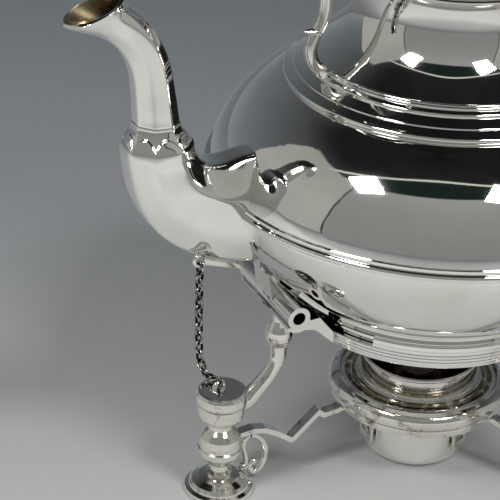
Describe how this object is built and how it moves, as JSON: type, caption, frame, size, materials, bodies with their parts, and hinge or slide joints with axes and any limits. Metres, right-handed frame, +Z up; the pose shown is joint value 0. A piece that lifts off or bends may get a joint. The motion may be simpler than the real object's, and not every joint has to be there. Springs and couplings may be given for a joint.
{
  "type": "spirit kettle on stand",
  "caption": "Polished silver kettle hinged to a three-legged stand by removable chained pins, with a hinged lid and a lift-out spirit lamp below.",
  "frame": {"origin": "middle of the whole object's footprint, on the floor plane", "axes": "+Z up, the spout points along -X, the pins are pushed in from the +Y side"},
  "size_m": [0.2528, 0.1868, 0.3262],
  "materials": {
    "polished_silver": "hand-polished silver",
    "oxidised_silver": "silver darkened by tarnish, worn bright on the links' outsides",
    "dark_wood": "ebonised hardwood, waxed",
    "burner_brass": "heat-dulled brass",
    "cotton": "scorched woven cotton"
  },
  "bodies": {
    "stand": {"stand_ring": "polished_silver", "front_hinge_saddle": "polished_silver", "rear_hinge_saddle": "polished_silver", "lamp_holder": "polished_silver", "front_staple": "polished_silver", "right_leg_lug": "polished_silver", "left_leg_lug": "polished_silver", "front_leg": "polished_silver", "front_leg_cap": "polished_silver", "front_foot": "polished_silver", "front_stretcher": "polished_silver", "front_scroll": "polished_silver", "right_leg": "polished_silver", "right_leg_cap": "polished_silver", "right_foot": "polished_silver", "right_stretcher": "polished_silver", "right_scroll": "polished_silver", "left_leg": "polished_silver", "left_leg_cap": "polished_silver", "left_foot": "polished_silver", "left_stretcher": "polished_silver", "left_scroll": "polished_silver"},
    "kettle": {"lower_bowl": "polished_silver", "upper_bowl": "polished_silver", "kettle_base": "polished_silver", "girdle_band": "polished_silver", "shoulder_moulding": "polished_silver", "neck": "polished_silver", "lid_seat": "polished_silver", "lid_hinge_pin": "polished_silver", "spout_root": "polished_silver", "spout_band": "polished_silver", "spout_neck": "polished_silver", "front_kettle_lug": "polished_silver", "rear_kettle_lug": "polished_silver", "front_handle_bracket": "polished_silver", "rear_handle_bracket": "polished_silver", "front_ferrule": "polished_silver", "rear_ferrule": "polished_silver", "handle_rivets": "polished_silver", "handle_grip": "dark_wood"},
    "lid": {"lid": "polished_silver", "finial_base": "polished_silver", "finial_knob": "dark_wood", "finial_cap": "polished_silver"},
    "front_pin": {"front_pin": "polished_silver", "front_chain": "oxidised_silver"},
    "rear_pin": {"rear_pin": "polished_silver"},
    "lamp": {"reservoir": "polished_silver", "lamp_plate": "polished_silver", "wick_tube": "burner_brass", "wick": "cotton"}
  },
  "joints": [
    {"name": "kettle_tilt", "type": "hinge", "parent": "stand", "child": "kettle", "pos_m": [-0.0402, 0, 0.0875], "axis": [0, -1, 0], "range_deg": [0, 40]},
    {"name": "lid_hinge", "type": "hinge", "parent": "kettle", "child": "lid", "pos_m": [0.0298, 0.0433, 0.21835], "axis": [-1, 0, 0], "range_deg": [0, 95]},
    {"name": "front_pin_draw", "type": "slide", "parent": "stand", "child": "front_pin", "axis": [0, 1, 0], "range_m": [0, 0.024], "deforming": ["front_chain"]},
    {"name": "rear_pin_push", "type": "slide", "parent": "stand", "child": "rear_pin", "axis": [0, -1, 0], "range_m": [0, 0.024]},
    {"name": "lamp_lift", "type": "slide", "parent": "stand", "child": "lamp", "axis": [0, 0, 1], "range_m": [0, 0.022]}
  ]
}
